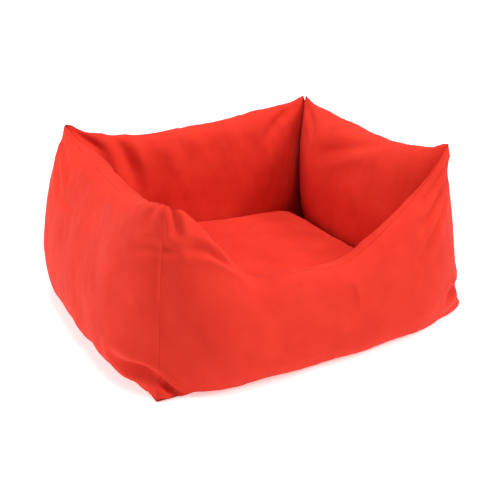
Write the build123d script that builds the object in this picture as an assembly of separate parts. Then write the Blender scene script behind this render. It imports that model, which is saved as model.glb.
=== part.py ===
from build123d import *

import os
from math import atan, cos, hypot, pi, sin

# Rectangular bolster bed for a small dog.
#
# Four stuffed walls are sewn to each other at the corners and to a flat fabric base. The front wall dips
# in its middle, where the dog steps in. A loose cushion with a zipped cover lies on the base.
#
# Millimetres, +Z up. The origin is at the middle of the footprint on the floor, and the front is
# towards -Y.

os.makedirs("parts", exist_ok=True)

# Driving dimensions of the walls
CORNER_W = 540.0  # between the corner seams at the floor, along X
CORNER_D = 448.0  # the same along Y
TIP_H = 274.0  # height of the four corner tips
TIP_INSET = 0.876  # the tips stand in from the floor corners by this ratio
TOP_SAG = 24.0  # how far a top seam sags between two tips
DIP_H = 104.0  # height of the front wall in the middle of the dip
DIP_FLAT = 0.30  # share of the half length, from the middle, where the dip is level
DIP_END = 0.97  # share of the half length where the dip has climbed to the normal height
OUTER_BULGE = 44.0  # how far an outer panel swells out from the seam plane
SIDE_INNER_BULGE = 75.0  # how far the left and right inner panels swell in
LONG_INNER_BULGE = 53.0  # the same for the front and back
END_BULGE = 3.0  # swelling left at a corner seam, so that the end of a wall isn't a knife edge
SEAM_GAP = 0.1  # from the seam plane to a panel's edge

# Sheet goods
FABRIC = 1.2  # thickness of the cover fabric with its lining
BASE_SHEET = 1.2  # thickness of the non-slip underside
GAP = 0.8  # room between a filling and the fabric round it

# Cushion
CUSHION_HALF_W = 178.0
CUSHION_HALF_D = 156.0
CUSHION_SEAM_Z = 45.0
CUSHION_TOP_Z = 88.0

# Cushion zip, in its own plane: x along the zip, y across it, z out of the cushion
ZIP_INSET = 22.0  # from the cushion's back seam to the zip, measured along Y
ZIP_HALF = 116.0  # half the length of the teeth
STOP = 4.0  # length of an end stop
TEETH_GAP = 1.6  # between the two rows of teeth
TEETH_W = 2.4
TEETH_T = 2.0
TAPE_T = 0.8
TAPE_W = 9.2
TAPE_TOP = -1.9  # height of the tapes' upper face
OPENING_W = 17.0  # width of the slot in the underside panel
RUN = 0.3  # running clearance round the slider
SLIDER_L = 11.0
SLIDER_W = 9.4
WING_T = 1.2
POST_W = 1.0
POST_L = 3.7
SLIDER_X = 108.0  # where the closed slider stands
CROWN_L = 6.0
CROWN_W = 2.0
CROWN_WALL = 1.0
TUNNEL_H = 2.0
PIN_R = 0.7
PULL_T = 1.2
PULL_W = 5.2
PULL_ARM = 1.2
PULL_L = 17.0
PULL_ROUND = 2.0
PULL_WINDOW = 3.9

# Care label, sewn into a corner seam
LABEL_W = 24.0
LABEL_H = 30.0
LABEL_T = 0.5
LABEL_Z = 46.0
LABEL_ANGLE = 45.0

FLOOR = BASE_SHEET + FABRIC  # top of the base, where the walls and the cushion stand

# Signs of the two corners that a wall runs between, and its outward direction
WALLS = {
    "front": ((-1, -1), (1, -1), (0, -1)),
    "right": ((1, -1), (1, 1), (1, 0)),
    "back": ((1, 1), (-1, 1), (0, 1)),
    "left": ((-1, 1), (-1, -1), (-1, 0)),
}
# Places along a wall, as shares of its half length, where its section is drawn
PLAIN_STATIONS = (0.0, 0.25, 0.5, 0.68, 0.8, 0.88, 0.94, 0.975, 1.0)
DIP_STATIONS = (0.0, 0.15, 0.27, 0.36, 0.45, 0.54, 0.63, 0.72, 0.8, 0.87, 0.93, 0.97, 1.0)
# Places up a section, as shares of the way from the base seam to the top seam
HEIGHTS = (0.0, 0.05, 0.11, 0.18, 0.27, 0.38, 0.5, 0.62, 0.74, 0.85, 0.93, 1.0)
FILLING_HEIGHTS = (0.1, 0.16, 0.23, 0.32, 0.42, 0.52, 0.63, 0.74, 0.84, 0.92)
WEDGE = 0.6  # 0 gives a section as round at the top as at the base, and more makes the top a wedge
ROUND_TO = 0.45  # share of the way up a section where its underside has become its side
FILLING_END = 0.88  # share of the half length past which there is no filling


def ease(share):
    """0 to 1 with a level start and end."""
    share = max(0.0, min(1.0, share))
    return share * share * (3 - 2 * share)


def top_height(wall, share):
    """Height of a wall's top seam; share runs from -1 to 1 along the wall."""
    height = TIP_H - TOP_SAG * (1 - share**4)
    if wall == "front":
        climb = ease((abs(share) - DIP_FLAT) / (DIP_END - DIP_FLAT))
        height = DIP_H + (height - DIP_H) * climb
    return height


def section_point(wall, share, rise, side, change=0.0):
    """A point of the inside of a wall's fabric.

    share runs along the wall, rise from the base seam (0) to the top seam (1), and side is 1 on the outer
    panel and -1 on the inner one. change moves the point out of the wall, square to the fabric."""
    start, end, outward = WALLS[wall]
    along = [(end[i] - start[i]) / 2 for i in (0, 1)]
    middle = [(end[i] + start[i]) / 2 for i in (0, 1)]
    # The fabric leaves the base seam level, so its thickness points down there and sideways further up
    tilt = pi / 2 * max(0.0, 1 - rise / ROUND_TO) ** 2 * (1 - share**8)
    bottom = FLOOR + FABRIC + SEAM_GAP
    z = bottom + (top_height(wall, share) - bottom) * rise**2 * (1 + WEDGE - WEDGE * rise)
    z -= change * sin(tilt)
    lean = 1 - (1 - TIP_INSET) * z / TIP_H
    x = (middle[0] + along[0] * share) * CORNER_W / 2 * lean
    y = (middle[1] + along[1] * share) * CORNER_D / 2 * lean

    turn = abs(share) ** 8 * (1 if share > 0 else -1)
    direction = [outward[i] + along[i] * turn for i in (0, 1)]
    size = hypot(*direction)
    bulge = OUTER_BULGE * (1 - share**4)
    if side < 0:
        bulge = LONG_INNER_BULGE if wall in ("front", "back") else SIDE_INNER_BULGE
        bulge *= 1 - share**2
    depth = SEAM_GAP + (bulge + END_BULGE) * sin(pi * rise) + change * cos(tilt)
    reach = side * depth / size
    return Vector(x + direction[0] * reach, y + direction[1] * reach, z)


def loop(first, second):
    """A closed wire: a spline through first, one back through second, and straight lines between them."""
    return Wire(
        [
            Spline(*first),
            Line(first[-1], second[-1]),
            Spline(*reversed(second)),
            Line(second[0], first[0]),
        ]
    )


def both_ways(shares):
    """Shares of a half length, from one end of a whole length to the other."""
    return [-s for s in reversed(shares) if s > 0] + list(shares)


def stations(wall):
    return DIP_STATIONS if wall == "front" else PLAIN_STATIONS


def wall_panel(wall, side):
    """The fabric of one face of a wall, from its seam plane outwards."""
    wires = []
    for share in both_ways(stations(wall)):
        inside = [section_point(wall, share, rise, side) for rise in HEIGHTS]
        outside = [section_point(wall, share, rise, side, FABRIC) for rise in HEIGHTS]
        wires.append(loop(outside, inside))
    return Solid.make_loft(wires)


def wall_filling(wall):
    """The stuffing of a wall, just clear of its two panels."""
    shares = [s for s in stations(wall) if s <= FILLING_END]
    wires = []
    for share in both_ways(shares):
        outer = [section_point(wall, share, rise, 1, -GAP) for rise in FILLING_HEIGHTS]
        inner = [section_point(wall, share, rise, -1, -GAP) for rise in FILLING_HEIGHTS]
        wires.append(loop(outer, inner))
    return Solid.make_loft(wires)


# ---- cushion

CUSHION_STATIONS = (0.0, 0.25, 0.45, 0.6, 0.7, 0.78, 0.85, 0.91, 0.96, 1.0)
UNDER_Z = FLOOR + 0.3
TOP_CROWN = (3, 3)  # the higher, the flatter the middle; along X and along Y
UNDER_CROWN = (12, 5)


def cushion_height(x, y, top, change=0.0):
    """Height of the inside of the cushion's cover; change moves it out of the cushion."""
    crown = TOP_CROWN if top else UNDER_CROWN
    share = 1 - abs(x / CUSHION_HALF_W) ** crown[0]
    share *= 1 - abs(y / CUSHION_HALF_D) ** crown[1]
    if top:
        return CUSHION_SEAM_Z + (CUSHION_TOP_Z - FABRIC - CUSHION_SEAM_Z) * share + change
    return CUSHION_SEAM_Z - (CUSHION_SEAM_Z - UNDER_Z - FABRIC) * share - change


def cushion_panel(top):
    """The cover's top or underside."""
    wires = []
    for share in both_ways(CUSHION_STATIONS):
        x = share * CUSHION_HALF_W
        places = [CUSHION_HALF_D * s for s in both_ways(CUSHION_STATIONS)]
        inside = [Vector(x, y, cushion_height(x, y, top)) for y in places]
        outside = [Vector(x, y, cushion_height(x, y, top, FABRIC)) for y in places]
        wires.append(loop(outside, inside))
    return Solid.make_loft(wires)


def cushion_core():
    """The stuffing of the cushion, just clear of its cover."""
    shares = CUSHION_STATIONS[:-1]
    wires = []
    for share in both_ways(shares):
        x = share * CUSHION_HALF_W
        places = [CUSHION_HALF_D * s for s in both_ways(shares)]
        upper = [Vector(x, y, cushion_height(x, y, True, -GAP)) for y in places]
        lower = [Vector(x, y, cushion_height(x, y, False, -GAP)) for y in places]
        wires.append(loop(upper, lower))
    return Solid.make_loft(wires)


def zip_plane():
    """The plane that touches the underside along the zip's line; its z points out of the cushion."""
    y = CUSHION_HALF_D - ZIP_INSET
    heights = [cushion_height(0, y + step, False, FABRIC) for step in (-0.5, 0, 0.5)]
    slope = atan(heights[2] - heights[0])
    return Plane(origin=(0, y, heights[1]), x_dir=(1, 0, 0), z_dir=(0, sin(slope), -cos(slope)))


ZIP = zip_plane()


def block(x, y, z):
    """A box between two x, two y and two z values of the zip's own plane."""
    centre = [(low + high) / 2 for low, high in (x, y, z)]
    return ZIP * Pos(*centre) * Box(x[1] - x[0], y[1] - y[0], z[1] - z[0])


TAPE_BOTTOM = TAPE_TOP - TAPE_T
TEETH_TOP = TAPE_TOP + TEETH_T
ZIP_END = ZIP_HALF + STOP


def zip_tape(side):
    near, far = sorted((side * TEETH_GAP / 2, side * (TEETH_GAP / 2 + TAPE_W)))
    return block((-ZIP_END, ZIP_END), (near, far), (TAPE_BOTTOM, TAPE_TOP))


def zip_teeth():
    rows = []
    for side in (-1, 1):
        near, far = sorted((side * TEETH_GAP / 2, side * (TEETH_GAP / 2 + TEETH_W)))
        rows.append(block((-ZIP_HALF, ZIP_HALF), (near, far), (TAPE_TOP, TEETH_TOP)))
    return Compound(children=rows)


def zip_stops():
    width = TEETH_GAP / 2 + TEETH_W
    ends = [(-ZIP_END, -ZIP_HALF), (ZIP_HALF, ZIP_END)]
    return Compound(
        children=[block(end, (-width, width), (TAPE_TOP, TEETH_TOP + RUN)) for end in ends]
    )


WING_TOP = TEETH_TOP + RUN + WING_T
CROWN_TOP = WING_TOP + TUNNEL_H + CROWN_WALL
PIN_Z = WING_TOP + TUNNEL_H / 2


def zip_slider():
    """Two wings joined by a post that runs between the rows of teeth, with a crown for the pull."""
    ends = (SLIDER_X - SLIDER_L / 2, SLIDER_X + SLIDER_L / 2)
    sides = (-SLIDER_W / 2, SLIDER_W / 2)
    wing_bottom = WING_TOP - WING_T
    lower_top = TAPE_BOTTOM - RUN
    slider = block(ends, sides, (wing_bottom, WING_TOP))
    slider += block(ends, sides, (lower_top - WING_T, lower_top))
    post = (ends[1] - POST_L, ends[1])
    slider += block(post, (-POST_W / 2, POST_W / 2), (lower_top, wing_bottom))
    flange = TEETH_GAP / 2 + TEETH_W + RUN
    for low, high in ((sides[0], -flange), (flange, sides[1])):
        slider += block(ends, (low, high), (TAPE_TOP + RUN, wing_bottom))
    half = CROWN_L / 2
    crown_x = (SLIDER_X - half, SLIDER_X + half)
    tunnel_x = (crown_x[0] + CROWN_WALL, crown_x[1] - CROWN_WALL)
    crown = block(crown_x, (-CROWN_W / 2, CROWN_W / 2), (WING_TOP, CROWN_TOP))
    crown -= block(tunnel_x, (-CROWN_W, CROWN_W), (WING_TOP, WING_TOP + TUNNEL_H))
    return slider + crown


def zip_pull():
    """A flat tab on a pin that turns inside the slider's crown; it lies flat towards -X when closed."""
    plate = Box(PULL_L, PULL_W, PULL_T, align=(Align.MAX, Align.CENTER, Align.CENTER))
    plate = fillet(plate.edges().filter_by(Axis.Z).group_by(Axis.X)[0], PULL_ROUND)
    window_w = PULL_W - 2 * PULL_ARM
    window = Box(PULL_WINDOW, window_w, 2 * PULL_T, align=(Align.MAX, Align.CENTER, Align.CENTER))
    pin = Rot(90, 0, 0) * Cylinder(PIN_R, PULL_W)
    return ZIP * Pos(SLIDER_X, 0, PIN_Z) * (plate - window + pin)


# ---- base and label


def sheet(bottom, thickness):
    """A flat sheet as wide as the corner seams."""
    return Pos(0, 0, bottom) * Box(
        CORNER_W, CORNER_D, thickness, align=(Align.CENTER, Align.CENTER, Align.MIN)
    )


def care_label():
    """A blank woven tab that stands out of the back right corner seam."""
    lean = 1 - (1 - TIP_INSET) * LABEL_Z / TIP_H
    start = END_BULGE + FABRIC + 2 * GAP
    tab = Box(LABEL_W, LABEL_T, LABEL_H, align=(Align.MIN, Align.CENTER, Align.CENTER))
    corner = Pos(CORNER_W / 2 * lean, CORNER_D / 2 * lean, LABEL_Z)
    return corner * Rot(0, 0, LABEL_ANGLE) * Pos(start, 0, 0) * tab


# ---- the assembly

nodes = {"base_sheet": sheet(0, BASE_SHEET), "floor_lining": sheet(BASE_SHEET, FABRIC)}
for wall in WALLS:
    nodes[f"{wall}_wall_outer_panel"] = wall_panel(wall, 1)
    nodes[f"{wall}_wall_inner_panel"] = wall_panel(wall, -1)
    nodes[f"{wall}_wall_filling"] = wall_filling(wall)
nodes["care_label"] = care_label()

slot_half = OPENING_W / 2
slot = block((-ZIP_END, ZIP_END), (-slot_half, slot_half), (-2 * FABRIC, 2 * FABRIC))
tape_reach = TEETH_GAP / 2 + TAPE_W + GAP
zip_room = block(
    (-ZIP_END - GAP, ZIP_END + GAP), (-tape_reach, tape_reach), (TAPE_BOTTOM - WING_T - 3 * RUN, TUNNEL_H)
)
nodes["cushion_top_panel"] = cushion_panel(True)
nodes["cushion_underside_panel"] = cushion_panel(False) - slot
nodes["cushion_filling"] = cushion_core() - zip_room
nodes["zip_tape_lower"] = zip_tape(1)
nodes["zip_tape_upper"] = zip_tape(-1)
nodes["zip_teeth"] = zip_teeth()
nodes["zip_end_stops"] = zip_stops()
nodes["zip_slider"] = zip_slider()
nodes["zip_pull"] = zip_pull()

for name, shape in nodes.items():
    export_step(shape, f"parts/{name}.step")

pivot = (ZIP * Pos(SLIDER_X, 0, PIN_Z)).position
print("zip pull pivot", pivot, "axis", ZIP.y_dir)
print("zip travel", 2 * SLIDER_X)
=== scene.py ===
"""Looks of the padded dog bed: walls and cushion as sewn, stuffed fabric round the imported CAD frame."""

import math
from collections import namedtuple

import bmesh
import bpy
import numpy as np
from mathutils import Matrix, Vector


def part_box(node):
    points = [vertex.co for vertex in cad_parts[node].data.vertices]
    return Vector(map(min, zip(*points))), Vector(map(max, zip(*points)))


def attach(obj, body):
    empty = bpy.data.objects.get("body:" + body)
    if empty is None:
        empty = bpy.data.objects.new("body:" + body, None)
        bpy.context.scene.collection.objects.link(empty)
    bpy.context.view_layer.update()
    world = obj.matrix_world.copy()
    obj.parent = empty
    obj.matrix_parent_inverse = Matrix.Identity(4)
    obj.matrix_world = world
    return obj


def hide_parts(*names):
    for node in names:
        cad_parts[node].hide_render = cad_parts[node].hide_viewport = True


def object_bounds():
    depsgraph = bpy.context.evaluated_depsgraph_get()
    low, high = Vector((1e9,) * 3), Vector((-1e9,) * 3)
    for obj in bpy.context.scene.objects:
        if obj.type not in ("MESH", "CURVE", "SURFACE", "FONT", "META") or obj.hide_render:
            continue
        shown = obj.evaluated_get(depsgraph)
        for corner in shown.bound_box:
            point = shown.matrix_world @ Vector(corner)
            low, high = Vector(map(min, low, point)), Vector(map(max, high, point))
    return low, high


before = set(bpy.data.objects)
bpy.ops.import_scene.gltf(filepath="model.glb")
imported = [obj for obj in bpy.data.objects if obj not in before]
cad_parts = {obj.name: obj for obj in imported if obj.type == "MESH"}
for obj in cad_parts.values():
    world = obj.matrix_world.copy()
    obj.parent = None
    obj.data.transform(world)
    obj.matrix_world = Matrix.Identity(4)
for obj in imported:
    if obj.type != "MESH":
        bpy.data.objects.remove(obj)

cad_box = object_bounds()

# ---------------------------------------------------------------- dimensions, from the frame

base_low, base_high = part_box("base_sheet")
HALF_W = base_high.x  # corner seams at the floor
HALF_D = base_high.y
FLOOR_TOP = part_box("floor_lining")[1].z
TIP_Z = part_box("left_wall_outer_panel")[1].z
TIP_INSET = 0.876  # the corner tips stand in from the floor corners by this ratio
SEAM_Z = FLOOR_TOP + 0.0013  # the base seam, just above the lining
CREST_Z = 0.130  # top of the front wall in its dip
CLEAR = 0.0006  # the fabric stays this far from the floor, the lining and its neighbours
CUSHION_CLEAR = 0.0015  # and this far from the cushion
GROUND_CLEAR = 0.0010  # the outer covers' height above the ground while they settle
PROUD = 0.004  # the stuffed walls may stand this far out of the frame's box
cushion_low, cushion_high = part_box("cushion_top_panel")
cushion_half = (cushion_high.x, cushion_high.y)

# Signs of the two corners that a wall runs between, and its outward direction
WALLS = {
    "front": ((-1, -1), (1, -1), (0, -1)),
    "right": ((1, -1), (1, 1), (1, 0)),
    "back": ((1, 1), (-1, 1), (0, 1)),
    "left": ((-1, 1), (-1, -1), (-1, 0)),
}
NAMES = list(WALLS)
LONG = ("front", "back")


def smooth(x):
    """0 below 0, 1 above 1, and a soft step between."""
    x = np.clip(x, 0, 1)
    return x * x * (3 - 2 * x)


def noise(a, b, seed, scale=1.0):
    """A smooth, fixed, lumpy field of about -1 to 1 on two arrays."""
    rng = np.random.default_rng(seed)
    total = np.zeros(np.broadcast(a, b).shape)
    for k in range(7):
        fa, fb = rng.uniform(-2.2, 2.2, 2) * scale * (0.6 + 0.25 * k)
        total = total + np.sin(2 * math.pi * (fa * a + fb * b) + rng.uniform(0, 6.3)) / (1 + 0.35 * k)
    return total / 3.2


def bunched(count, spread):
    """Steps from -1 to 1 that lie closer together near the ends."""
    steps = np.linspace(-1, 1, count)
    return np.sin(steps * math.pi / 2 * spread) / math.sin(math.pi / 2 * spread)


# ---------------------------------------------------------------- the stuffed shape of the walls

TIP_BODY = TIP_Z - 0.001  # height of the stuffed tips
# How far each top seam sags between its tips, and where along the wall it is lowest
SAG = {"front": (0.014, 0.0), "right": (0.021, -0.25), "back": (0.026, 0.35), "left": (0.029, 0.35)}
OUTER_BULGE = {"front": 0.038, "right": 0.030, "back": 0.036, "left": 0.032}
INNER_BULGE = {"front": 0.048, "right": 0.068, "back": 0.048, "left": 0.068}
# The dip falls between the first two shares of the half length and climbs again between the others
DIP_FALL = (-0.96, -0.42)
DIP_CLIMB = (0.16, 1.0)
CREASE_INSET = 0.020  # how far the inner crease of a corner lies inside its outer seam
# A corner's tip: length of its ear, half the gap between its two walls' ears, how far it stays level
# along its walls, extra height, how far its outer seam bows out, and whether it is rounded off
Tip = namedtuple("Tip", "ear gap level extra bow rounded")
TIPS = {
    (-1, -1): Tip(0.004, 0.0, 0.016, 0.002, 0.004, True),
    (1, -1): Tip(0.018, 0.0012, 0.016, 0.003, 0.002, False),
    (1, 1): Tip(0.022, 0.0038, 0.012, 0.002, 0.006, False),
    (-1, 1): Tip(0.018, 0.0036, 0.022, 0.006, 0.010, False),
}


def half_length(wall):
    """Half the distance between a wall's two corners at the floor."""
    return HALF_W if wall in LONG else HALF_D


def from_end(wall, share, corner):
    """Distance along the wall from one of its two corners."""
    first = WALLS[wall][0]
    return (1 + share if corner == first else 1 - share) * half_length(wall)


def dip(share):
    """1 in the dip of the front wall, 0 at its tips."""
    fall = smooth((share - DIP_FALL[0]) / (DIP_FALL[1] - DIP_FALL[0]))
    settle = 0.91 + 0.09 * smooth((share - DIP_FALL[1]) / 0.5)
    climb = 1 - np.clip((share - DIP_CLIMB[0]) / (DIP_CLIMB[1] - DIP_CLIMB[0]), 0, 1) ** 1.25
    return fall * settle * climb


def top_height(wall, share):
    """Height of a wall's top seam along the wall."""
    deep, lowest = SAG[wall]
    t = np.where(share > lowest, (share - lowest) / (1 - lowest), (lowest - share) / (1 + lowest))
    sag = deep * (1 - t**2) ** 1.5
    # the last few millimetres by a tip are level: the turned seam allowance makes an ear
    peak = 0
    for corner in WALLS[wall][:2]:
        level = TIPS[corner].level
        away = from_end(wall, share, corner)
        sag = sag * smooth((away - level * 0.3) / level)
        peak = peak + TIPS[corner].extra * np.exp(-((away / level) ** 2))
    top = TIP_BODY - sag + peak
    if wall == "front":
        top = top + (CREST_Z - top) * dip(share)
    return top


def stuffed(wall, side, share, rise):
    """The surface of the stuffing under a panel. share runs along the wall and rise up the fabric."""
    first, last, outward = WALLS[wall]
    along = [(last[i] - first[i]) / 2 for i in (0, 1)]
    middle = [(last[i] + first[i]) / 2 for i in (0, 1)]
    wedge = rise**2 * (1.6 - 0.6 * rise)
    round_top = 0.5 - 0.5 * np.cos(math.pi * rise)
    up = 0.15 * wedge + 0.85 * round_top
    edge = np.abs(share) ** 10
    up = up * (1 - edge) + rise * edge
    z = SEAM_Z + (top_height(wall, share) - SEAM_Z) * up
    lean = 1 - (1 - TIP_INSET) * z / TIP_BODY
    turn = np.abs(share) ** 8 * np.sign(share)
    size = np.hypot(outward[0] + along[0] * turn, outward[1] + along[1] * turn)
    swell = np.sin(math.pi * rise)
    if side > 0:
        # flatter at the foot, where the floor and the base seam hold the fabric back
        held = 0.60 + 0.12 * (wall == "left") - 0.42 * smooth((share + 0.5) / 0.9) * (wall == "front")
        foot = 1 - held * np.exp(-((rise - 0.12) / 0.14) ** 2)
        bulge = OUTER_BULGE[wall] * (1 - share**6) * swell**0.58 * foot
        if wall == "front":
            spot = ((share - 0.86) / 0.12) ** 2 + ((rise - 0.10) / 0.12) ** 2
            bulge = bulge + 0.020 * np.exp(-spot)
        if wall == "left":
            spot = ((share + 0.76) / 0.26) ** 2 + ((rise - 0.76) / 0.20) ** 2
            bulge = bulge + 0.012 * np.exp(-spot) * (1 - share**6)
    else:
        bulge = INNER_BULGE[wall] * (1 - np.abs(share) ** 3.2) * swell**0.7
        bulge = bulge + CREASE_INSET * 1.414 * np.abs(share) ** 6 * swell**0.8
    depth = side * bulge / size
    x = (middle[0] + along[0] * share) * HALF_W * lean + (outward[0] + along[0] * turn) * depth
    y = (middle[1] + along[1] * share) * HALF_D * lean + (outward[1] + along[1] * turn) * depth
    return np.stack([x, y, z], -1)


def slack(wall, side, share, rise):
    """How much longer the fabric is than the stuffing needs: loose at the tips and in the dip's shoulders."""
    tips = smooth((np.abs(share) - 0.55) / 0.4) * smooth((rise - 0.5) / 0.4)
    loose = 1.006 + 0.030 * tips
    if wall == "front":
        loose = loose + 0.020 * np.exp(-((np.abs(share) - 0.55) / 0.2) ** 2) * smooth((rise - 0.3) / 0.4)
    return loose + 0.009 * noise(share, rise, 40 + NAMES.index(wall) + 10 * (side < 0), 0.9)


# ---------------------------------------------------------------- cloth solver
# Every panel is a grid. All eight wall panels are solved together as one array of
# (wall, side, along, up, xyz). Edges are springs that hardly stretch, the seams are welded by
# averaging, and the stuffing is a core that the fabric can't enter and a pressure from inside.


def pair_step(a, b, rest, stretch, squeeze):
    """Moves two views of grid points so that their distances approach the rest lengths."""
    d = b - a
    size = np.sqrt(np.einsum("...i,...i->...", d, d)) + 1e-12
    off = (size - rest) / size
    off *= np.where(off > 0, stretch, squeeze) * 0.5
    d *= off[..., None]
    a += d
    b -= d


def edges_of(p, loose):
    """Rest lengths for each family of edges of a batch of grids, from a shape and its slack."""

    def length(a, b):
        """Rest lengths between two families of points."""
        ia, ib = (..., *a), (..., *b)
        size = np.linalg.norm(p[(*ia, slice(None))] - p[(*ib, slice(None))], axis=-1)
        return size * (loose[ia] + loose[ib]) / 2

    whole, late, early = slice(None), slice(1, None), slice(None, -1)
    return {
        "along": length((late, whole), (early, whole)),
        "up": length((whole, late), (whole, early)),
        "rising": length((late, late), (early, early)),
        "falling": length((late, early), (early, late)),
    }


STRETCH = 1.0  # share of a stretched edge's error that one pass takes out
SHEAR = 0.25  # the same for the diagonals


def relax(p, rest, squeeze):
    """One pass over all edges of a batch of grids; squeeze is the share for edges that are too short."""

    def pairs(count, skip):
        """Every second edge: its first points, its second points and its own places."""
        stop = skip + (count - skip) // 2 * 2
        return slice(skip, stop, 2), slice(skip + 1, stop, 2), slice(skip, stop - 1, 2)

    nu, nv = p.shape[-3:-1]
    for skip in (0, 1):
        a, b, edge = pairs(nu, skip)
        pair_step(p[..., a, :, :], p[..., b, :, :], rest["along"][..., edge, :], STRETCH, squeeze)
    for skip in (0, 1):
        a, b, edge = pairs(nv, skip)
        pair_step(p[..., :, a, :], p[..., :, b, :], rest["up"][..., :, edge], STRETCH, squeeze)
    for skip in (0, 1):
        a, b, edge = pairs(nu, skip)
        low, high = slice(None, -1), slice(1, None)
        pair_step(p[..., a, low, :], p[..., b, high, :], rest["rising"][..., edge, :], SHEAR, SHEAR * 0.5)
        pair_step(p[..., a, high, :], p[..., b, low, :], rest["falling"][..., edge, :], SHEAR, SHEAR * 0.5)


def unbend(p, stiffness):
    """Pulls each point a little towards the middle of its neighbours."""
    m = (p[..., 2:, :, :] + p[..., :-2, :, :]) * 0.5
    p[..., 1:-1, :, :] += (m - p[..., 1:-1, :, :]) * stiffness
    m = (p[..., :, 2:, :] + p[..., :, :-2, :]) * 0.5
    p[..., :, 1:-1, :] += (m - p[..., :, 1:-1, :]) * stiffness


def normals_of(p):
    """Unit normals at the grid points."""
    n = np.cross(np.gradient(p, axis=-3), np.gradient(p, axis=-2))
    size = np.sqrt(np.einsum("...i,...i->...", n, n))[..., None] + 1e-15
    return n / size


def finer(p):
    """The same surface on a grid of twice the resolution."""
    for axis in (-3, -2):
        p = np.moveaxis(p, axis, 0)
        before = np.concatenate([p[:1], p[:-2]])
        after = np.concatenate([p[2:], p[-1:]])
        out = np.empty((2 * len(p) - 1, *p.shape[1:]))
        out[::2] = p
        out[1::2] = (p[:-1] + p[1:]) * 0.5625 - (before + after) * 0.0625
        p = np.moveaxis(out, 0, axis)
    return np.ascontiguousarray(p)


DAMPING = 0.9  # share of the speed that a step keeps
STUFFING_PUSH = 0.3  # share of its depth in the stuffing that a point is pushed out by in one step
DEEPEST = 0.004  # a deeper point is pushed out as if it were this deep


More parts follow.
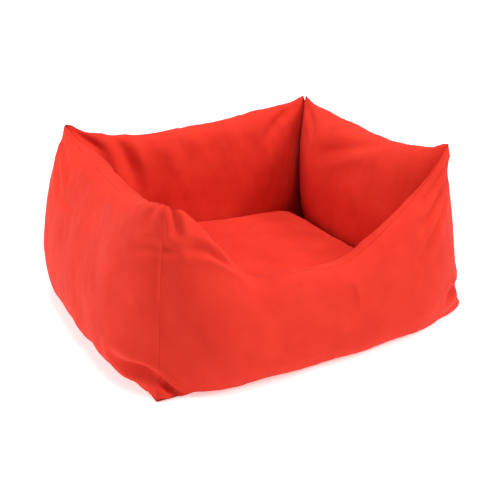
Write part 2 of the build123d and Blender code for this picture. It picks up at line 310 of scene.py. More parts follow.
class WallCloth:
    """The eight wall panels."""

    def __init__(self, nu, nv):
        self.shape(nu, nv)
        self.p = self.core.copy()
        self.pin()

    def shape(self, nu, nv):
        """Lays out the stuffing, the fabric's rest lengths and the pinned seams on a grid."""
        self.share = np.linspace(-1, 1, nu)[:, None] + np.zeros((1, nv))
        self.rise = np.linspace(0, 1, nv)[None, :] + np.zeros((nu, 1))
        self.core = np.array([[stuffed(w, s, self.share, self.rise) for s in (1, -1)] for w in NAMES])
        self.facing = np.array([[1.0, -1.0]] * 4)[:, :, None, None, None]
        self.core_normal = normals_of(self.core) * self.facing
        loose = np.array([[slack(w, s, self.share, self.rise) for s in (1, -1)] for w in NAMES])
        self.rest = edges_of(self.core, loose)
        self.top_line = np.array([top_height(w, self.share[:, 0]) - 0.001 for w in NAMES])
        self.pins = []
        self.planes = []
        for i, w in enumerate(NAMES):
            first, last = WALLS[w][:2]
            along = np.array([(last[k] - first[k]) / 2 for k in (0, 1)])
            for end, corner in ((0, first), (-1, last)):
                toward = along if end == 0 else -along
                self.corner_lines(i, end, corner, toward)

    def corner_lines(self, i, end, corner, toward):
        """Pins the outer seam and the inner crease of one end of a wall."""
        form = TIPS[corner]
        foot = np.array([corner[0] * HALF_W, corner[1] * HALF_D])
        tip = foot * TIP_INSET
        diagonal = foot / np.linalg.norm(foot)
        v = self.rise[0]
        start = 1 - form.ear / TIP_BODY
        free = smooth((v - start) / (1 - start))
        for side, bow in ((0, form.bow), (1, -CREASE_INSET)):
            line = np.zeros((len(v), 3))
            line[:, :2] = foot + (tip - foot) * v[:, None]
            line[:, :2] += diagonal * (bow * np.sin(math.pi * v) ** 0.6)[:, None]
            line[:, :2] += toward * (form.gap * free)[:, None]
            line[:, 2] = SEAM_Z + (TIP_BODY - SEAM_Z) * v + form.extra * free
            self.pins.append((i, side, end, line))
        normal = np.array([-(tip - foot)[1], (tip - foot)[0]])
        normal /= np.linalg.norm(normal)
        if normal @ toward < 0:
            normal = -normal
        self.planes.append((i, foot, normal))

    def pin(self):
        """Puts the seams back on their lines and welds each wall's top seam."""
        p = self.p
        for i, side, end, line in self.pins:
            p[i, side, end, :, :] = line
        middle = p[:, :, :, -1].mean(1)
        np.maximum(middle[..., 2], self.top_line, out=middle[..., 2])
        p[:, 0, :, -1] = middle
        p[:, 1, :, -1] = middle
        for i, w in enumerate(NAMES):
            first, last = WALLS[w][:2]
            u = self.share[:, 0]
            bottom = np.zeros((len(u), 3))
            for k, half in ((0, HALF_W), (1, HALF_D)):
                bottom[:, k] = ((first[k] + last[k]) / 2 + (last[k] - first[k]) / 2 * u) * half
            bottom[:, 2] = SEAM_Z
            p[i, :, :, 0, :] = bottom

    def collide(self):
        """Keeps the fabric off the neighbouring walls, the floor and the cushion, and inside the box."""
        p = self.p
        for i, foot, normal in self.planes:
            d = (p[i, ..., 0] - foot[0]) * normal[0] + (p[i, ..., 1] - foot[1]) * normal[1]
            push = np.maximum(CLEAR - d, 0)
            p[i, ..., 0] += push * normal[0]
            p[i, ..., 1] += push * normal[1]
        z = p[..., 2]
        np.maximum(z[:, 0], GROUND_CLEAR, out=z[:, 0])
        np.maximum(z[:, 1], FLOOR_TOP + CLEAR, out=z[:, 1])
        for i, w in enumerate(NAMES):
            outward = WALLS[w][2]
            k = 0 if outward[0] else 1
            inner, outer = p[i, 1, ..., k] * outward[k], p[i, 0, ..., k] * outward[k]
            p[i, 1, ..., k] = np.maximum(inner, cushion_half[k] + CUSHION_CLEAR) * outward[k]
            p[i, 0, ..., k] = np.minimum(outer, cad_box[1][k] + PROUD) * outward[k]

    def run(self, steps, pressure, weight, bend, squeeze=0.35):
        """Steps of stuffing, weight, fabric and contact."""
        p = self.p
        last = p.copy()
        for _ in range(steps):
            speed = (p - last) * DAMPING
            last = p.copy()
            p += speed
            gap = np.einsum("...i,...i->...", self.core - p, self.core_normal)[..., None]
            p += self.core_normal * np.clip(gap, 0, DEEPEST) * STUFFING_PUSH
            p += normals_of(p) * self.facing * pressure
            p[..., 2] -= weight
            relax(p, self.rest, squeeze)
            unbend(p, bend)
            self.collide()
            self.pin()

    def refine(self):
        """Goes on with the same shape on a grid of twice the resolution."""
        self.p = finer(self.p)
        self.shape(self.p.shape[2], self.p.shape[3])
        self.pin()


def soften(p, weight, rounds):
    """Smooths a batch of grids across their welded seams, as far as the weight at each point says."""
    keys = np.round(p.reshape(-1, 3) * 2e5).astype(np.int64)
    _, first, ids = np.unique(keys, axis=0, return_index=True, return_inverse=True)
    ids = ids.reshape(p.shape[:-1])
    a = np.concatenate([ids[:, :, 1:, :].ravel(), ids[:, :, :, 1:].ravel()])
    b = np.concatenate([ids[:, :, :-1, :].ravel(), ids[:, :, :, :-1].ravel()])
    q = p.reshape(-1, 3)[first].copy()
    w = np.zeros(len(q))
    np.maximum.at(w, ids.ravel(), weight.ravel())
    held = np.zeros(len(q), bool)
    held[ids[..., 0].ravel()] = True
    w[held] = 0
    count = np.bincount(a, minlength=len(q)) + np.bincount(b, minlength=len(q))
    for _ in range(rounds):
        for k in range(3):
            total = np.bincount(a, q[b, k], len(q)) + np.bincount(b, q[a, k], len(q))
            q[:, k] += (total / count - q[:, k]) * w
    return q[ids]


def seam_softness(walls):
    """Where the stuffing rounds a seam: the outer corners and the tops, but not the tips."""
    share, rise = walls.share, walls.rise
    weight = np.zeros(walls.p.shape[:-1])
    low = smooth((rise - 0.04) / 0.10)
    for i, w in enumerate(NAMES):
        for corner in WALLS[w][:2]:
            away = from_end(w, share, corner)
            top = 1 - smooth((rise - 0.86) / 0.08)
            weight[i, 0] = np.maximum(weight[i, 0], (1 - smooth((away - 0.02) / 0.07)) * low * top)
            if TIPS[corner].rounded:
                near = 0.35 * (1 - smooth((away - 0.02) / 0.05)) * smooth((rise - 0.80) / 0.10)
                weight[i, :] = np.maximum(weight[i, :], near)
        clear = np.ones_like(share)
        for corner in WALLS[w][:2]:
            if not TIPS[corner].rounded:
                clear = clear * smooth((from_end(w, share, corner) - 0.014) / 0.03)
        weight[i, :] = np.maximum(weight[i, :], 0.35 * smooth((rise - 0.80) / 0.10) * clear)
    return weight


# Folds and dents of each wall and side: from (share, rise) to (share, rise), depth, width
FOLDS = {
    ("front", "outer"): [
        ((-0.86, 0.80), (-0.60, 0.94), 0.0061, 0.0062),
        ((-1.00, 0.76), (-0.93, 0.78), 0.0037, 0.0062),
        ((-0.945, 1.00), (-0.925, 0.85), 0.0071, 0.0062),
        ((-1.00, 0.15), (-0.90, 0.07), 0.0085, 0.0070),
        ((0.72, 0.90), (0.95, 0.93), 0.0044, 0.0062),
        ((0.66, 0.80), (0.98, 0.84), 0.0044, 0.0062),
        ((0.58, 0.66), (0.97, 0.80), 0.0034, 0.0062),
        ((0.80, 0.30), (1.00, 0.20), 0.0068, 0.0070),
    ],
    ("left", "outer"): [
        ((0.80, 0.75), (1.00, 0.77), 0.0034, 0.0062),
        ((0.93, 0.98), (0.88, 0.88), 0.0026, 0.0070),
        ((0.66, 0.31), (1.00, 0.16), 0.0102, 0.0080),
        ((-0.88, 0.95), (-0.45, 0.84), 0.0037, 0.0062),
        ((-0.80, 0.90), (-0.50, 0.74), 0.0031, 0.0062),
        ((-0.55, 0.72), (-0.20, 0.74), 0.0024, 0.0062),
    ],
    ("left", "inner"): [
        ((-0.86, 0.96), (-0.50, 0.80), 0.0041, 0.0062),
    ],
    ("back", "inner"): [
        ((0.66, 0.98), (0.50, 0.64), 0.0085, 0.0120),
        ((0.95, 0.97), (0.76, 0.84), 0.0051, 0.0070),
        ((0.20, 0.96), (0.10, 0.72), 0.0037, 0.0140),
        ((-0.86, 0.93), (-0.55, 0.78), 0.0031, 0.0080),
    ],
    ("right", "inner"): [
        ((0.34, 0.74), (-0.30, 0.93), 0.0041, 0.0100),
        ((0.86, 0.93), (0.50, 0.80), 0.0034, 0.0070),
    ],
    ("right", "outer"): [
        ((-0.92, 0.92), (-0.60, 0.76), 0.0044, 0.0070),
        ((-0.95, 0.20), (-0.70, 0.34), 0.0068, 0.0080),
        ((0.95, 0.90), (0.60, 0.78), 0.0041, 0.0070),
    ],
    ("back", "outer"): [
        ((-0.94, 0.22), (-0.72, 0.34), 0.0068, 0.0080),
        ((-0.92, 0.90), (-0.60, 0.80), 0.0044, 0.0070),
        ((0.94, 0.86), (0.62, 0.74), 0.0044, 0.0070),
        ((0.95, 0.18), (0.70, 0.28), 0.0061, 0.0080),
    ],
}


def folded(walls):
    """Presses the folds into the fabric; a shallow ridge runs beside each."""
    p = walls.p
    normals = normals_of(p) * walls.facing
    for (wall, side), folds in FOLDS.items():
        i, j = NAMES.index(wall), 0 if side == "outer" else 1
        size = np.array([half_length(wall), TIP_BODY])
        spot = np.stack([walls.share, walls.rise], -1) * size
        for start, end, depth, width in folds:
            a = np.array(start) * size
            run = np.array(end) * size - a
            t = np.clip((spot - a) @ run / (run @ run), 0, 1)
            away = np.linalg.norm(spot - a - t[..., None] * run, axis=-1)
            fade = np.sin(math.pi * np.clip(0.12 + 0.76 * t, 0, 1))
            groove = -np.exp(-((away / width) ** 2)) + 0.55 * np.exp(-(((away - 2.1 * width) / width) ** 2))
            p[i, j] += normals[i, j] * (groove * fade * depth)[..., None]
    return p


def puckered(walls):
    """Small, uneven gathers along the seams, where the thread draws the fabric in."""
    p = walls.p
    normals = normals_of(p) * walls.facing
    rng = np.random.default_rng(7)
    for i in range(len(NAMES)):
        for j in (0, 1):
            share, rise = walls.share, walls.rise
            edge = np.exp(-(1 - rise) / 0.035) + np.exp(-(1 - np.abs(share)) / 0.03) * (1 - j)
            ripple = noise(share * 3.1, rise * 1.6, 90 + 2 * i + j, 2.4)
            grain = rng.normal(0, 1, share.shape)
            grain = (grain + np.roll(grain, 1, 1) + np.roll(grain, 1, 0)) / 3
            size = 0.0009 * ripple * np.clip(edge, 0, 1) + 0.00012 * grain
            size = size + 0.0026 * noise(share * 1.3, rise * 0.9, 60 + 2 * i + j, 1.0)
            size = size + 0.0009 * noise(share * 2.6, rise * 1.9, 30 + 2 * i + j, 1.6)
            inside = smooth(rise / 0.06) * smooth((1 - rise) / 0.02) * smooth((1 - np.abs(share)) / 0.012)
            p[i, j] += normals[i, j] * (size * inside)[..., None]
    return p


SEWN_REACH = 0.008  # how far from a seam the fabric follows it


def sewn(walls):
    """Draws the covers back to the seams they share, at the tops and, below the ears, at the corners."""
    p = walls.p
    for i, w in enumerate(NAMES):
        seam = p[i, :, :, -1].mean(0)
        near = np.exp(-(((1 - walls.rise) * TIP_BODY / SEWN_REACH) ** 2))
        for side in (0, 1):
            p[i, side] += near[..., None] * (seam - p[i, side, :, -1])[:, None]
    for i, w in enumerate(NAMES):
        j = (i + 1) % len(NAMES)
        corner = WALLS[w][1]
        start = 1 - TIPS[corner].ear / TIP_BODY
        hold = 1 - smooth((walls.rise[0] - start) / (1 - start))
        for side in (0, 1):
            seam = (p[i, side, -1] + p[j, side, 0]) / 2
            for k, end in ((i, -1), (j, 0)):
                pull = (seam - p[k, side, end]) * hold[:, None]
                near = np.exp(-((from_end(NAMES[k], walls.share, corner) / SEWN_REACH) ** 2))
                p[k, side] += near[..., None] * pull[None]
    return p


def linked(obj):
    """Puts a new object in the scene."""
    bpy.context.scene.collection.objects.link(obj)
    return obj


def solid_object(name, verts, faces):
    """A smooth mesh object from vertices and faces."""
    mesh = bpy.data.meshes.new(name)
    mesh.from_pydata(verts, [], faces)
    mesh.update()
    mesh.polygons.foreach_set("use_smooth", [True] * len(mesh.polygons))
    return linked(bpy.data.objects.new(name, mesh))


def mesh_object(name, points, keep=None, wrap=False, cloth=True):
    """A quad mesh object from a grid of points, with a map of its flat fabric if it is cloth."""
    nu, nv = points.shape[:2]
    index = np.arange(nu * nv).reshape(nu, nv)
    if wrap:
        index = np.concatenate([index, index[:1]], 0)
    quads = np.stack([index[:-1, :-1], index[1:, :-1], index[1:, 1:], index[:-1, 1:]], -1)
    faces = (quads if keep is None else quads[keep]).reshape(-1, 4)
    obj = solid_object(name, points.reshape(-1, 3).tolist(), faces.tolist())
    if cloth:
        places = cloth_map(points).reshape(-1, 2)[faces.ravel()]
        layer = obj.data.uv_layers.new(name="cloth")
        layer.uv.foreach_set("vector", places.astype(np.float32).ravel())
    return obj


def welded(obj):
    """Joins the points of an object that lie on each other."""
    shape = bmesh.new()
    shape.from_mesh(obj.data)
    bmesh.ops.remove_doubles(shape, verts=shape.verts, dist=0.000002)
    shape.to_mesh(obj.data)
    shape.free()
    return obj


def cloth_map(p):
    """Places of a grid's points on its flat fabric, in metres."""
    du = np.linalg.norm(np.diff(p, axis=0), axis=-1).mean(1)
    dv = np.linalg.norm(np.diff(p, axis=1), axis=-1).mean(0)
    u = np.concatenate([[0], np.cumsum(du)])
    v = np.concatenate([[0], np.cumsum(dv)])
    return np.stack(np.meshgrid(u, v, indexing="ij"), -1)


def tube(name, line, radius, closed=False):
    """A round cord along a line of points."""
    sides = 8
    line = np.asarray(line, float)
    if closed:
        tangent = np.roll(line, -1, 0) - np.roll(line, 1, 0)
    else:
        tangent = np.gradient(line, axis=0)
    tangent /= np.linalg.norm(tangent, axis=1)[:, None] + 1e-12
    helper = np.where(np.abs(tangent[:, 2:]) > 0.9, [[1.0, 0, 0]], [[0, 0, 1.0]])
    across = np.cross(tangent, helper)
    across /= np.linalg.norm(across, axis=1)[:, None] + 1e-12
    over = np.cross(across, tangent)
    angle = np.linspace(0, 2 * math.pi, sides + 1)
    ring = across[:, None] * np.cos(angle)[None, :, None] + over[:, None] * np.sin(angle)[None, :, None]
    return mesh_object(name, line[:, None] + ring * radius, wrap=closed, cloth=False)


# ---------------------------------------------------------------- materials


def material(name, color, rough, sheen=0.0, metallic=0.0, specular=0.5):
    """A principled material, its node tree and its shader."""
    mat = bpy.data.materials.new(name)
    mat.use_nodes = True
    shader = mat.node_tree.nodes["Principled BSDF"]
    look = {"Base Color": (*color, 1), "Roughness": rough, "Sheen Weight": sheen,
            "Sheen Roughness": 0.45, "Metallic": metallic, "Specular IOR Level": specular}
    for key, value in look.items():
        shader.inputs[key].default_value = value
    return mat, mat.node_tree, shader


def feed(tree, socket, value):
    """Gives a socket a plain value, or links another node's output to it."""
    if isinstance(value, bpy.types.NodeSocket):
        tree.links.new(value, socket)
    else:
        socket.default_value = value


def node(tree, kind, **values):
    """A new node with the given properties and inputs."""
    new = tree.nodes.new(kind)
    for key, value in values.items():
        if hasattr(new, key):
            setattr(new, key, value)
        else:
            feed(tree, new.inputs[key.replace("_", " ").title()], value)
    return new


def mixed(tree, share, first, second, blend="MIX"):
    """Two colours mixed by a share."""
    mix = node(tree, "ShaderNodeMix", data_type="RGBA", blend_type=blend)
    # the node's sockets for colours come after those for numbers and vectors
    for slot, value in ((0, share), (6, first), (7, second)):
        feed(tree, mix.inputs[slot], value)
    return mix.outputs[2]


def ranged(tree, value, **limits):
    """A value mapped from one range to another."""
    return node(tree, "ShaderNodeMapRange", value=value, **limits).outputs["Result"]


def coordinates(tree, uv):
    """Places on the flat fabric, or in the object where there is no fabric map."""
    if uv:
        return node(tree, "ShaderNodeUVMap", uv_map="cloth").outputs["UV"]
    return node(tree, "ShaderNodeTexCoord").outputs["Object"]


def weave(tree, place, pitch):
    """Height of a plain weave: two crossing sets of threads, over and under by turns."""
    rows = []
    for axis in ("X", "Y"):
        wave = node(tree, "ShaderNodeTexWave", wave_type="BANDS", bands_direction=axis, vector=place,
                    scale=0.314 / pitch, distortion=0.6, detail=1.0, detail_scale=2.0)
        rows.append(wave.outputs["Fac"])
    both = node(tree, "ShaderNodeMath", operation="MULTIPLY")
    for socket, row in zip(both.inputs, rows):
        feed(tree, socket, row)
    return both.outputs[0]


def bump_chain(tree, shader, layers):
    """Bumps one over another: (height output, strength, distance)."""
    below = None
    for height, strength, distance in layers:
        bump = node(tree, "ShaderNodeBump", Height=height, Strength=strength, Distance=distance)
        if below:
            feed(tree, bump.inputs["Normal"], below)
        below = bump.outputs["Normal"]
    feed(tree, shader.inputs["Normal"], below)


def clouds(tree, place, scale, rough=0.5, detail=3.0):
    """Soft noise."""
    return node(tree, "ShaderNodeTexNoise", vector=place, scale=scale, detail=detail,
                roughness=rough).outputs["Fac"]


def varied_color(tree, place, dark, light, scale):
    """The dye varies a little from place to place."""
    cloud = clouds(tree, place, scale, 0.6, 4.0)
    ramp = node(tree, "ShaderNodeValToRGB", Fac=cloud)
    for element, position, color in zip(ramp.color_ramp.elements, (0.35, 0.65), (dark, light)):
        element.position = position
        element.color = (*color, 1)
    return ramp.outputs["Color"], cloud


def fabric_material(name, dark, light, pitch, uv=True):
    """Woven cotton: fine threads, slubs, a slightly uneven dye, and painted shade where the threads dip."""
    rough = 0.88
    mat, tree, shader = material(name, light, rough, sheen=0.03, specular=0.2)
    place = coordinates(tree, uv)
    color, cloud = varied_color(tree, place, dark, light, 14.0)
    threads = weave(tree, place, pitch)
    # the weave's height also darkens the colour where the threads dip: painted shade in the weave's hollows
    feed(tree, shader.inputs["Base Color"], mixed(tree, 0.16, color, threads, "MULTIPLY"))
    lumps = (clouds(tree, place, 26.0, 0.55), 0.5, 0.0006)
    slubs = (clouds(tree, place, 240.0, 0.6), 0.35, 0.0002)
    bump_chain(tree, shader, [lumps, slubs, (threads, 0.5, 0.00012)])
    feed(tree, shader.inputs["Roughness"], ranged(tree, cloud, to_min=rough - 0.06, to_max=rough + 0.06))
    return mat


RED_DARK = (0.76, 0.030, 0.014)
RED_LIGHT = (0.84, 0.041, 0.020)
cover = fabric_material("cover_fabric", RED_DARK, RED_LIGHT, 0.0009)
seam_red = fabric_material("seam_thread", (0.58, 0.016, 0.008), (0.64, 0.020, 0.010), 0.0006, uv=False)
tape_red = fabric_material("zip_tape_weave", (0.60, 0.016, 0.008), (0.68, 0.022, 0.011), 0.0007, uv=False)


def give(obj, mat, body=None):
    """Gives an object its material, and a new piece its body."""
    obj.data.materials.clear()
    obj.data.materials.append(mat)
    if body:
        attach(obj, body)
    return obj


# ---------------------------------------------------------------- the walls

walls = WallCloth(33, 21)
walls.run(400, pressure=0.00006, weight=0.00003, bend=0.02)
walls.refine()
walls.run(400, pressure=0.00002, weight=0.00002, bend=0.01, squeeze=0.6)
walls.refine()
walls.run(260, pressure=0.000008, weight=0.00001, bend=0.006, squeeze=0.8)
walls.p = soften(walls.p, seam_softness(walls), 104)
walls.p = folded(walls)
walls.p = puckered(walls)
walls.p = sewn(walls)
np.maximum(walls.p[:, 0, ..., 2], CLEAR, out=walls.p[:, 0, ..., 2])
np.maximum(walls.p[:, 1, ..., 2], FLOOR_TOP + 0.0004, out=walls.p[:, 1, ..., 2])

for i, w in enumerate(NAMES):
    outer = give(mesh_object(f"{w}_outer_cover", walls.p[i, 0]), cover, "root")
    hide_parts(f"{w}_wall_outer_panel", f"{w}_wall_filling")
    inner = give(mesh_object(f"{w}_inner_cover", walls.p[i, 1, ::-1]), cover, "root")
    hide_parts(f"{w}_wall_inner_panel")


# ---------------------------------------------------------------- the cushion

CUSHION_SEAM = cushion_low.z
COVER_T = 0.0012  # thickness of the cover, which the frame's slot is cut through
UNDER_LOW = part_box("cushion_underside_panel")[0].z


def cushion_plan(u, v):
    """Places of the cushion's points in plan: its sides pull in a little between its corners."""
    x = u * cushion_half[0] * (1 - 0.016 * (1 - v**2) * u**16)
    y = v * cushion_half[1] * (1 - 0.016 * (1 - u**2) * v**16)
    return x, y


def near_edge(u, v):
    """Distance from the cushion's seam."""
    return np.minimum((1 - np.abs(u)) * cushion_half[0], (1 - np.abs(v)) * cushion_half[1])


def cushion_top(u, v):
    """The upper side: nearly flat in the middle, full at its edges, with soft dents and puckers."""
    x, y = cushion_plan(u, v)
    full = np.clip(1 - np.abs(u) ** 6, 0, 1) ** 0.36 * np.clip(1 - np.abs(v) ** 6, 0, 1) ** 0.36
    crown = 0.93 + 0.07 * (1 - u**2) * (1 - v**2)
    z = CUSHION_SEAM + (cushion_high.z - 0.001 - CUSHION_SEAM) * full * crown
    edge = near_edge(u, v)
    inside = smooth(edge / 0.02)
    z = z + 0.0024 * noise(u, v, 5, 0.55) * inside + 0.0010 * noise(u, v, 6, 1.6) * inside
    # the stuffing has gathered at the back on the left
    z = z + 0.015 * np.exp(-(((u + 0.50) / 0.60) ** 2) - ((v - 0.80) / 0.34) ** 2) * inside
    around = np.where((1 - np.abs(u)) * cushion_half[0] < (1 - np.abs(v)) * cushion_half[1], v, u)
    pucker = noise(around * 6, np.sign(u) + 2 * np.sign(v), 8, 1.5)
    pucker = pucker * np.exp(-edge / 0.016) * smooth(edge / 0.004)
    return np.stack([x, y, z + 0.0016 * pucker], -1)


def cushion_under(u, v):
    """The underside, as the frame has it round the zip."""
    x, y = cushion_plan(u, v)
    share = (1 - np.abs(u) ** 12) * (1 - np.abs(v) ** 5)
    edge = near_edge(u, v)
    z = CUSHION_SEAM - (CUSHION_SEAM - UNDER_LOW - COVER_T) * share - COVER_T * smooth(edge / 0.012)
    away = np.abs(y - ZIP_Y) / 0.02
    lump = 0.0007 * noise(u, v, 15, 1.2) * smooth(edge / 0.02) * smooth(away - 0.6)
    return np.stack([x, y, z + np.abs(lump)], -1)


teeth_low, teeth_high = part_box("zip_teeth")
stops_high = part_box("zip_end_stops")[1]
ZIP_Y = (teeth_low.y + teeth_high.y) / 2
SLOT_HALF_W = stops_high.x + 0.0015
SLOT_HALF_D = 0.0066


def with_marks(count, marks):
    """Steps from -1 to 1, with the nearest steps moved onto the marks."""
    steps = bunched(count, 0.92)
    for mark in marks:
        steps[np.argmin(np.abs(steps - mark))] = mark
    return steps


CUSHION_STEPS = ((111, 97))
us = with_marks(CUSHION_STEPS[0], (-SLOT_HALF_W / cushion_half[0], SLOT_HALF_W / cushion_half[0]))
slot_v = [(ZIP_Y - SLOT_HALF_D) / cushion_half[1], (ZIP_Y + SLOT_HALF_D) / cushion_half[1]]
vs = with_marks(CUSHION_STEPS[1], slot_v)
grid_u, grid_v = np.meshgrid(us, vs, indexing="ij")

top_points = cushion_top(grid_u, grid_v)
top_cover = give(mesh_object("cushion_top_cover", top_points), cover, "cushion")
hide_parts("cushion_top_panel", "cushion_filling")

under_points = cushion_under(grid_u, grid_v)[::-1]
middle_u = (us[:-1] + us[1:])[::-1] / 2
middle_v = (vs[:-1] + vs[1:]) / 2
in_slot = (np.abs(middle_u) < SLOT_HALF_W / cushion_half[0])[:, None]
in_slot = in_slot & ((middle_v > slot_v[0]) & (middle_v < slot_v[1]))[None, :]
under_cover = mesh_object("cushion_underside_cover", under_points, keep=~in_slot)
give(under_cover, cover, "cushion")
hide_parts("cushion_underside_panel")

# ---------------------------------------------------------------- seams

for i, w in enumerate(NAMES):
    line = walls.p[i, 0, :, -1] + np.array([0, 0, -0.0003])
    give(tube(f"{w}_top_seam", line, 0.0005), seam_red, "root")
for i, (w, name) in enumerate(zip(NAMES, ("front_left", "front_right", "back_right", "back_left"))):
    line = walls.p[i, 0, 0]
    corner = np.array([*WALLS[w][0], 0]) / math.sqrt(2)
    give(tube(f"{name}_corner_seam", line - corner * 0.0002, 0.0004), seam_red, "root")

ring = [top_points[:-1, 0], top_points[-1, :-1], top_points[:0:-1, -1], top_points[0, :0:-1]]
give(tube("cushion_seam", np.concatenate(ring), 0.0009, closed=True), seam_red, "cushion")

# ---------------------------------------------------------------- floor lining, base and label


def closed_slab(name, xs, ring):
    """A closed sheet from a ring of (y, z) for each x; the ring is pinched shut at both ends."""
    rows = []
    for n, x in enumerate(xs):
        loop = np.array(ring(x))
        if n in (0, len(xs) - 1):
            loop[:, 1] = loop[:, 1].mean()
        rows.append(np.column_stack([np.full(len(loop), x), loop]))
    rows = np.array(rows)
    points = np.concatenate([rows, rows[:, :1]], 1)
    return welded(mesh_object(name, points))


def sheet_ring(low, high, half, seed):
    """Section of a slightly uneven sheet between two heights, with rounded edges."""
    ys = bunched(61, SHEET_SPREAD) * half

    def ring(x):
        wave = 0.5 + 0.5 * noise(x * 3.0, ys * 3.0, seed, 1.0)
        thick = np.sqrt(np.clip(1 - (ys / half) ** 60, 0, 1))
        middle = (low + high) / 2
        upper = middle + (high - middle) * thick * (0.72 + 0.28 * np.clip(wave, 0, 1))
        lower = middle - (middle - low) * thick * (0.80 + 0.20 * np.clip(1 - wave, 0, 1))
        return np.concatenate([np.column_stack([ys, upper])[::-1], np.column_stack([ys, lower])[1:-1]])

    return ring


EDGE_IN = 0.0012  # the sheets end this far inside the base seam
SHEET_SPREAD = 0.96
sheet_half_d = HALF_D - EDGE_IN
sheet_xs = bunched(71, SHEET_SPREAD) * (HALF_W - EDGE_IN)
lining_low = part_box("floor_lining")[0].z
lining = closed_slab("floor_lining_cloth", sheet_xs, sheet_ring(lining_low, FLOOR_TOP, sheet_half_d, 31))
give(lining, cover, "root")
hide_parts("floor_lining")


def dotted_material():
    """Black non-slip cloth with a grid of raised rubber dots."""
    mat, tree, shader = material("non_slip_dots", (0.02, 0.02, 0.022), 0.8, specular=0.3)
    place = coordinates(tree, True)
    dots = node(tree, "ShaderNodeTexVoronoi", vector=place, scale=125.0, randomness=0.0)
    raised = ranged(tree, dots.outputs["Distance"], from_min=0.34, from_max=0.20,
                    interpolation_type="SMOOTHSTEP")
    color = mixed(tree, raised, (0.018, 0.018, 0.020, 1), (0.075, 0.075, 0.080, 1))
    feed(tree, shader.inputs["Base Color"], color)
    feed(tree, shader.inputs["Roughness"], ranged(tree, raised, to_min=0.92, to_max=0.45))
    bump_chain(tree, shader, [(weave(tree, place, 0.0012), 0.5, 0.0002), (raised, 0.8, 0.0006)])
    return mat


non_slip = closed_slab("non_slip_base", sheet_xs, sheet_ring(base_low.z, base_high.z, sheet_half_d, 32))
give(non_slip, dotted_material(), "root")
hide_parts("base_sheet")

base_line = np.concatenate([walls.p[i, 0, :-1, 0] for i in range(len(NAMES))]) + np.array([0, 0, -0.0012])
give(tube("base_seam", base_line, 0.0010, closed=True), seam_red, "root")


def ribbon_material():
    """Plain, blank satin ribbon."""
    mat, tree, shader = material("label_satin", (0.86, 0.85, 0.81), 0.42, sheen=0.2, specular=0.5)
    place = coordinates(tree, True)
    color, cloud = varied_color(tree, place, (0.80, 0.79, 0.74), (0.88, 0.87, 0.83), 60.0)
    feed(tree, shader.inputs["Base Color"], color)
    bump_chain(tree, shader, [(cloud, 0.3, 0.0002), (weave(tree, place, 0.0004), 0.5, 0.00006)])
    return mat


LABEL_W = 0.024
label_low, label_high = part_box("care_label")
label_out = np.array([1, 1, 0]) / math.sqrt(2)
label_across = np.array([-1, 1, 0]) / math.sqrt(2)


def label_point(t, h, layer):
    """t runs from the seam to the fold and h up the label; the free end curls a little."""
    z = label_low.z + (label_high.z - label_low.z) * h
    start = np.array([label_low.x, label_low.y, 0]) - label_out * 0.0015
    gap = layer * (0.00035 + 0.0008 * math.sin(math.pi * t) ** 2)
    curl = 0.0035 * t**2 * (0.6 + 0.4 * h) + 0.0006 * math.sin(5 * h + 2 * t)
    return start + label_out * LABEL_W * t * 0.97 + label_across * (curl + gap) + np.array([0, 0, z])


LABEL_STEPS = np.linspace(0, 1, 19)
label_path = [(t, 1) for t in LABEL_STEPS] + [(t, -1) for t in LABEL_STEPS[-2::-1]]
label_points = np.array([[label_point(t, h, layer) for h in LABEL_STEPS] for t, layer in label_path])
label = mesh_object("care_label_ribbon", label_points)
give(label, ribbon_material(), "root")
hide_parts("care_label")


def stitches(name, line, pitch, length, radius, mat, body):
    """A row of separate thread stitches along a line of points."""
    line = np.asarray(line)
    reach = np.concatenate([[0], np.cumsum(np.linalg.norm(np.diff(line, axis=0), axis=1))])
    starts = np.arange(0, reach[-1] - length, pitch)
    verts, faces = [], []
    for s0 in starts:
        steps = s0 + np.linspace(0, length, 5)
        path = np.stack([np.interp(steps, reach, line[:, k]) for k in range(3)], -1)
        heading = (path[-1] - path[0]) / length
        side = np.cross(heading, (0.31, 0.17, 0.93))
        side /= np.linalg.norm(side)
        over = np.cross(side, heading)
        first = len(verts)
        for n, spot in enumerate(path):
            r = radius * (0.25 if n in (0, 4) else 1.0)
            for a in np.arange(6) * math.pi / 3:
                verts.append(tuple(spot + side * r * math.cos(a) + over * r * math.sin(a)))
        for n in range(4):
            for a in range(6):
                b = (a + 1) % 6
                here, there = first + 6 * n, first + 6 * n + 6
                faces.append((here + a, here + b, there + b, there + a))
        faces.append(tuple(first + a for a in range(5, -1, -1)))
        faces.append(tuple(first + 24 + a for a in range(6)))
    return give(solid_object(name, verts, faces), mat, body)


label_stitch = [label_point(0.16, h, 2.2) for h in np.linspace(0.04, 0.96, 12)]
stitches("care_label_stitches", label_stitch, 0.0028, 0.0019, 0.00022, seam_red, "root")

# ---------------------------------------------------------------- the zip

tape_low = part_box("zip_tape_lower")
tape_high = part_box("zip_tape_upper")
zip_across = np.array((tape_high[0] + tape_high[1]) / 2 - (tape_low[0] + tape_low[1]) / 2)
zip_across /= np.linalg.norm(zip_across)
zip_out = np.array([0, zip_across[2], -zip_across[1]])
zip_middle = np.array((teeth_low + teeth_high) / 2)
TEETH_HALF_H = 0.0010  # the teeth stand this far either side of the row's middle
TEETH_NEAR, TEETH_FAR = 0.0008, 0.0032  # from the zip's middle line
TAPE_FAR = 0.0100
TAPE_T = 0.0008


def zip_spot(x, across, out):
    """A point of the zip: along it, across it and out of the cushion from the middle of the teeth."""
    return zip_middle + np.array([x, 0, 0]) + zip_across * across + zip_out * out


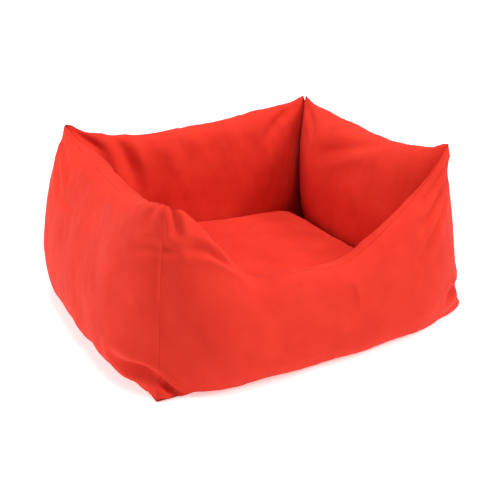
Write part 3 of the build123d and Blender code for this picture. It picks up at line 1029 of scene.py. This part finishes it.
def zip_tape(name, side, cad_node):
    """Woven tape with a slightly wavy outer edge."""
    xs = np.linspace(-stops_high.x, stops_high.x, 121)
    rows = []
    for n, x in enumerate(xs):
        flat = 0.25 if n in (0, len(xs) - 1) else 1.0
        wave = 0.0002 * math.sin(x * 140) + 0.00012 * math.sin(x * 410 + side)
        steps = np.linspace(TEETH_NEAR + 0.0001, TAPE_FAR - 0.0003 + wave, 9)
        top = -TEETH_HALF_H - 0.00005 + 0.00008 * np.sin(steps * 2500)
        low = top - TAPE_T * 0.9 * flat
        upper = [zip_spot(x, side * a, o) for a, o in zip(steps, top)]
        lower = [zip_spot(x, side * a, o) for a, o in zip(steps[::-1], low[::-1])]
        rows.append(upper + lower + upper[:1])
    points = np.array(rows) if side > 0 else np.array(rows)[::-1]
    tape = mesh_object(name, points)
    give(tape, tape_red, "cushion")
    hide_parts(cad_node)


def tooth(x, side, verts, faces):
    """One moulded tooth: a rounded block, widest at its head by the middle line."""
    near, far, half = TEETH_NEAR, TEETH_FAR, TEETH_HALF_H
    sections = [(near, 0.30, 0.55), (near + 0.0003, 0.62, 0.90), (near + 0.0009, 0.66, 1.0),
                (near + 0.0014, 0.44, 1.0), (far - 0.0003, 0.50, 1.0), (far, 0.36, 0.7)]
    first = len(verts)
    for across, width, height in sections:
        for a in np.arange(8) * math.pi / 4 + math.pi / 8:
            dx = 0.00072 * width * np.clip(1.35 * math.cos(a), -1, 1)
            out = half * height * np.clip(1.35 * math.sin(a), -1, 1)
            verts.append(tuple(zip_spot(x + dx, side * across, out)))
    for n in range(len(sections) - 1):
        for a in range(8):
            b = (a + 1) % 8
            here, there = first + 8 * n, first + 8 * n + 8
            quad = (here + a, here + b, there + b, there + a)
            faces.append(quad if side < 0 else quad[::-1])
    caps = [tuple(first + a for a in range(8)), tuple(first + 40 + a for a in range(7, -1, -1))]
    faces.extend(c[::-1] if side < 0 else c for c in caps)


def zip_teeth():
    """Two rows of teeth, half a pitch apart."""
    verts, faces = [], []
    pitch = 0.0018
    count = int(2 * teeth_high.x / pitch)
    for side in (-1, 1):
        for n in range(count):
            x = -teeth_high.x + pitch * (n + 0.5 + 0.25 * side)
            tooth(x, side, verts, faces)
    return solid_object("zip_teeth_rows", verts, faces)


def worn_material(name, color, worn, rough, metallic):
    """Painted or moulded surface, a little uneven, rubbed along its edges."""
    mat, tree, shader = material(name, color, rough, metallic=metallic)
    place = coordinates(tree, False)
    shade, cloud = varied_color(tree, place, color, tuple(min(1, c * 1.15) for c in color), 900.0)
    shape = node(tree, "ShaderNodeNewGeometry")
    edge = ranged(tree, shape.outputs["Pointiness"], from_min=0.54, from_max=0.64)
    feed(tree, shader.inputs["Base Color"], mixed(tree, edge, shade, (*worn, 1)))
    bump_chain(tree, shader, [(clouds(tree, place, 3500.0), 0.3, 0.00005), (cloud, 0.2, 0.0001)])
    return mat


zip_tape("zip_tape_front_ribbon", -1, "zip_tape_lower")
zip_tape("zip_tape_back_ribbon", 1, "zip_tape_upper")
for side, name in ((-1, "front"), (1, "back")):
    row = [zip_spot(x, side * 0.0062, -TEETH_HALF_H + 0.0001) for x in np.linspace(-0.118, 0.118, 60)]
    stitches(f"zip_{name}_stitches", row, 0.0030, 0.0021, 0.00022, seam_red, "cushion")
moulded = worn_material("zip_moulded", (0.62, 0.020, 0.010), (0.70, 0.06, 0.04), 0.38, 0.0)
painted = worn_material("zip_painted_metal", (0.52, 0.016, 0.010), (0.62, 0.56, 0.52), 0.30, 0.6)
teeth = give(zip_teeth(), moulded, "cushion")
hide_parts("zip_teeth")
give(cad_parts["zip_end_stops"], moulded)
give(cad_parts["zip_slider"], painted)
give(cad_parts["zip_pull"], painted)

# the slot's edges are turned in over the tapes
for side, name in ((-1, "front"), (1, "back")):
    xs = np.linspace(-SLOT_HALF_W, SLOT_HALF_W, 81)
    y = ZIP_Y + side * SLOT_HALF_D
    edge = cushion_under(xs / cushion_half[0], np.full_like(xs, y / cushion_half[1]))
    lip = np.stack([edge, edge - zip_out * 0.0008 - zip_across * side * 0.0002, edge - zip_out * 0.0016], 1)
    lip = lip if side < 0 else lip[::-1]
    give(mesh_object(f"zip_{name}_lip", lip), cover, "cushion")

# ---------------------------------------------------------------- stage, light and camera


def studio_floor():
    """Pale plain floor that glows: at about half strength by the bed, where its glow lights the bed from
    below, and fully far from it, so that it ends in white.
    """
    bpy.ops.mesh.primitive_plane_add(size=14, location=(0, 0, 0))
    floor = bpy.context.object
    floor.name = "studio_floor"
    white, tree, shader = material("studio_glowing_white", (0.9, 0.9, 0.9), 0.9, specular=0.1)
    shader.inputs["Emission Color"].default_value = (1, 1, 1, 1)
    radius = node(tree, "ShaderNodeVectorMath", operation="LENGTH")
    feed(tree, radius.inputs[0], coordinates(tree, False))
    glow = ranged(tree, radius.outputs["Value"], interpolation_type="SMOOTHSTEP",
                  from_min=0.7, from_max=3.0, to_min=0.48, to_max=1.0)
    # the glow is painted light: the floor shines on the bed though it is no lamp
    feed(tree, shader.inputs["Emission Strength"], glow)
    floor.data.materials.append(white)


def studio_world():
    """White all round: weak as a light, full as a background."""
    world = bpy.data.worlds.new("studio")
    bpy.context.scene.world = world
    world.use_nodes = True
    tree = world.node_tree
    background = tree.nodes["Background"]
    background.inputs["Color"].default_value = (1, 1, 1, 1)
    seen = node(tree, "ShaderNodeLightPath").outputs["Is Camera Ray"]
    feed(tree, background.inputs["Strength"], ranged(tree, seen, to_min=0.20, to_max=1.0))


def area_light(name, place, target, size, power):
    """A square softbox at a place, turned to a target."""
    data = bpy.data.lights.new(name, "AREA")
    data.energy = power
    data.size = size
    light = linked(bpy.data.objects.new(name, data))
    light.location = place
    light.rotation_euler = (Vector(target) - Vector(place)).to_track_quat("-Z", "Y").to_euler()


def studio_camera(place, azimuth, elevation):
    """The camera at a place, looking along a direction given in degrees."""
    camera = bpy.data.cameras.new("camera")
    camera.lens = 55
    camera.sensor_width = 36
    eye = linked(bpy.data.objects.new("camera", camera))
    eye.location = place
    turn, climb = math.radians(azimuth), math.radians(elevation)
    flat = math.cos(climb)
    away = Vector((math.sin(turn) * flat, -math.cos(turn) * flat, math.sin(climb)))
    eye.rotation_mode = "QUATERNION"
    eye.rotation_quaternion = (-away).to_track_quat("-Z", "Y")
    bpy.context.scene.camera = eye


studio_floor()
studio_world()
area_light("left_softbox", (-1.6, 0.65, 0.85), (0, 0, 0.1), 0.6, 15)
area_light("right_softbox", (1.35, -1.3, 1.6), (0, 0, 0.1), 0.6, 27)
area_light("top_softbox", (0.0, -0.2, 2.2), (0, 0, 0), 1.0, 36)
studio_camera((-0.5854, -1.0207, 0.5982), -29.91, 23.89)
bpy.context.scene.view_settings.view_transform = "Standard"
